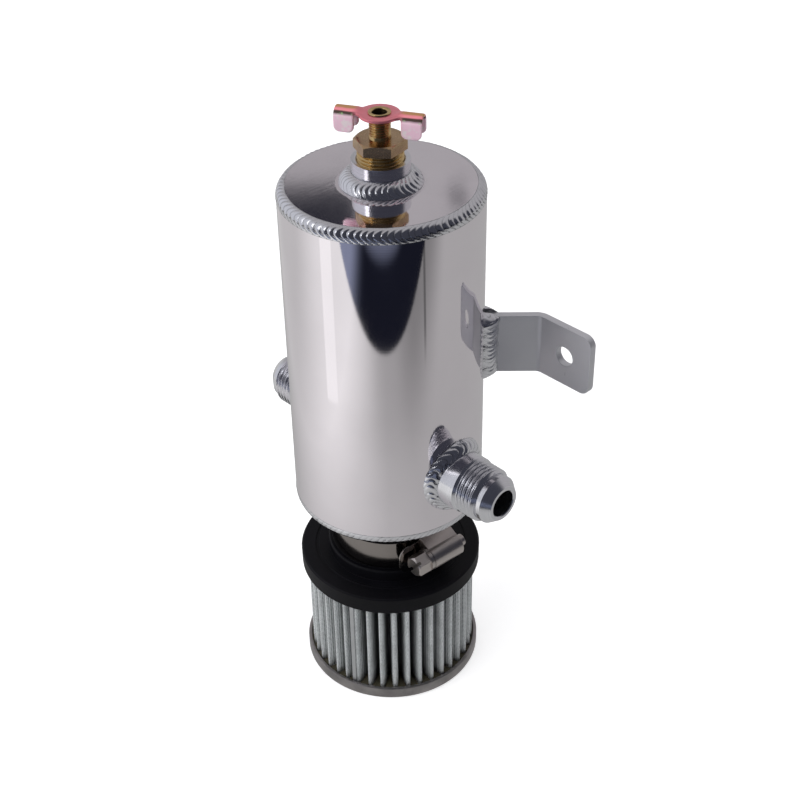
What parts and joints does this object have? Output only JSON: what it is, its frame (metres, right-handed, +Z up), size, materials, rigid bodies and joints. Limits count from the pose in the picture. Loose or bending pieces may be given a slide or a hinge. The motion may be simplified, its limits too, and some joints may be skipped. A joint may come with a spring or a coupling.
{
  "type": "oil catch can",
  "caption": "Welded cylindrical oil catch can with two hose fittings, wall brackets, a clamped-on breather filter and a wing-handled drain cock.",
  "frame": {"origin": "centre of the lower face of the breather filter's end cap, on which the can stands", "axes": "+Z up the axis of the can, from the filter to the drain cock; +Y towards the wall that the brackets bolt to; the hose fittings point along -X and +X"},
  "size_m": [0.1358, 0.0823, 0.2544],
  "materials": {
    "polished_tank": "mirror polished",
    "weld_bead": "bright rippled weld",
    "turned_fitting": "turned bright",
    "bracket_strap": "satin",
    "brass_cock": "machined",
    "zinc_handle": "iridescent zinc plating",
    "black_rubber": "moulded, matt",
    "filter_gauze": "wire-backed cotton gauze",
    "seam_metal": "satin",
    "potting": "cast adhesive",
    "plated_steel": "zinc plated, dull",
    "clamp_steel": "stainless, bright"
  },
  "bodies": {
    "tank": {"tank_tube": "polished_tank", "drain_end_cap": "polished_tank", "breather_end_cap": "polished_tank", "drain_end_weld": "weld_bead", "breather_end_weld": "weld_bead", "drain_bung": "turned_fitting", "drain_bung_weld": "weld_bead", "petcock_body": "brass_cock", "left_hose_fitting": "turned_fitting", "right_hose_fitting": "turned_fitting", "left_fitting_weld": "weld_bead", "right_fitting_weld": "weld_bead", "left_bracket": "bracket_strap", "right_bracket": "bracket_strap", "left_bracket_welds": "weld_bead", "right_bracket_welds": "weld_bead", "breather_pipe": "turned_fitting", "breather_pipe_weld": "weld_bead", "filter_flange": "black_rubber", "pleated_media": "filter_gauze", "media_seam_clip": "seam_metal", "potting_bed": "potting", "filter_end_cap": "plated_steel", "clamp_band": "clamp_steel", "clamp_housing": "clamp_steel"},
    "stem": {"petcock_stem": "brass_cock", "stem_seal": "black_rubber"},
    "handle": {"wing_handle": "zinc_handle"},
    "clamp_worm": {"clamp_screw": "clamp_steel"}
  },
  "joints": [
    {"name": "stem_lift", "type": "slide", "parent": "tank", "child": "stem", "axis": [0, 0, 1], "range_m": [-0.00251, 0]},
    {"name": "handle_turn", "type": "hinge", "parent": "stem", "child": "handle", "pos_m": [0, 0, 0.2527], "axis": [0, 0, 1], "range_deg": [-900, 0]},
    {"name": "clamp_screw_turn", "type": "hinge", "parent": "tank", "child": "clamp_worm", "pos_m": [0.03043, -0.00213, 0.0696], "axis": [0.0698, 0.9976, 0], "continuous": true}
  ],
  "couplings": [
    {"joint": "stem_lift", "follows": "handle_turn", "m_per_rad": 0.00015915}
  ]
}
